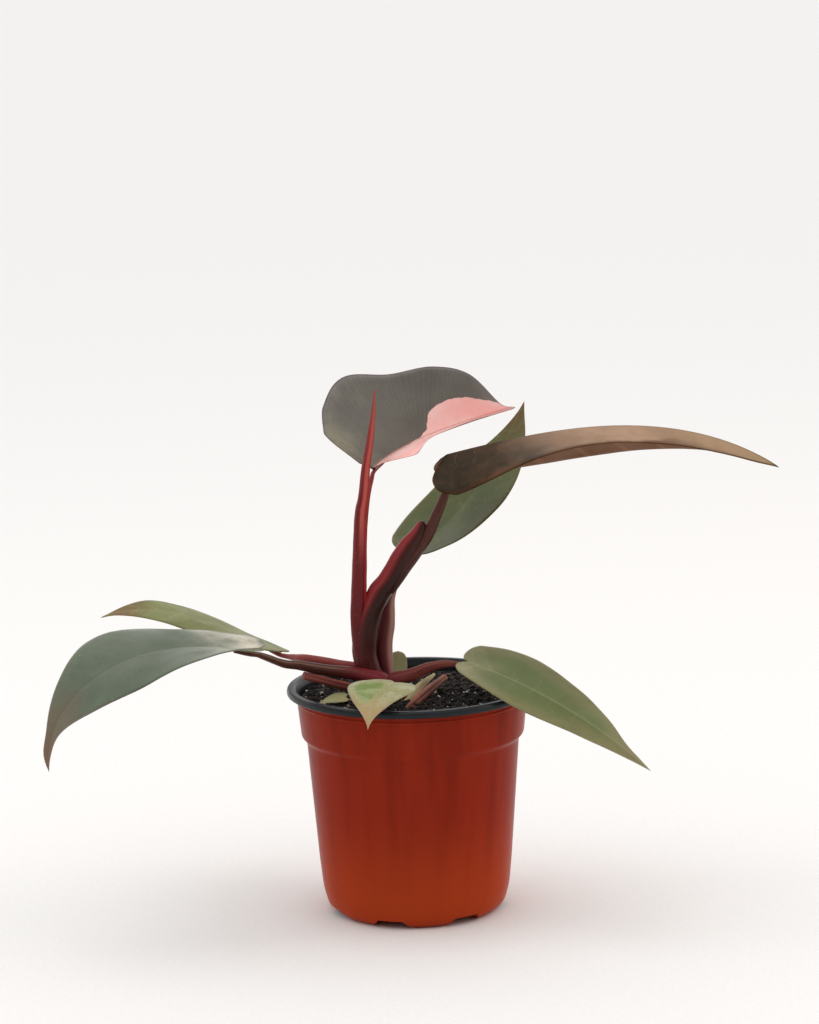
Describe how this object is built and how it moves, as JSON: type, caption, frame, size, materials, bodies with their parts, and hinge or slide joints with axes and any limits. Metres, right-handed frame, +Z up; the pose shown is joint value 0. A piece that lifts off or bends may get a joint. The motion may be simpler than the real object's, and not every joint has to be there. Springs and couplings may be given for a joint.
{
  "type": "potted philodendron plant",
  "caption": "Young variegated philodendron with heart-shaped leaves on arching stalks, rooted in a thin round nursery pot with a rolled rim and drain grooves.",
  "frame": {"origin": "middle of the pot's flat floor, on the surface the pot stands on", "axes": "+Z up along the pot's axis, +X towards the tip of the long copper leaf, -Y towards the picture's viewer"},
  "size_m": [0.3341, 0.1483, 0.2498],
  "materials": {
    "pot": "glossy thin terracotta plastic, black inside and on the rim",
    "soil": "loose dark potting mix with white perlite",
    "stem": "smooth living stem",
    "red_stalk": "satin dark red stalk",
    "new_leaf": "satin brick red sheath",
    "pink_blade": "glossy dark green blade with a salmon pink sector",
    "copper_blade": "satin copper brown young blade",
    "green_blade": "satin olive green blade",
    "pale_blade": "matte pale green and cream blade",
    "dry_stalk": "matte dry stalk and sheath"
  },
  "bodies": {
    "root": {"pot": "pot", "soil": "soil", "stem": "stem", "pink_leaf": "pink_blade", "pink_leaf_stalk": "red_stalk", "new_leaf_sheath": "new_leaf", "copper_leaf": "copper_blade", "copper_leaf_stalk": "red_stalk", "rear_leaf": "green_blade", "rear_leaf_stalk": "red_stalk", "left_leaf": "green_blade", "left_leaf_stalk": "red_stalk", "left_rear_leaf": "green_blade", "left_rear_leaf_stalk": "red_stalk", "right_leaf": "green_blade", "right_leaf_stalk": "red_stalk", "front_leaf": "pale_blade", "front_leaf_stalk": "red_stalk", "low_leaf": "pale_blade", "low_leaf_stalk": "red_stalk", "small_rear_leaf": "pale_blade", "small_rear_leaf_stalk": "red_stalk", "cut_stalk": "red_stalk", "withered_stalk": "dry_stalk", "dried_sheath": "dry_stalk"}
  },
  "joints": []
}
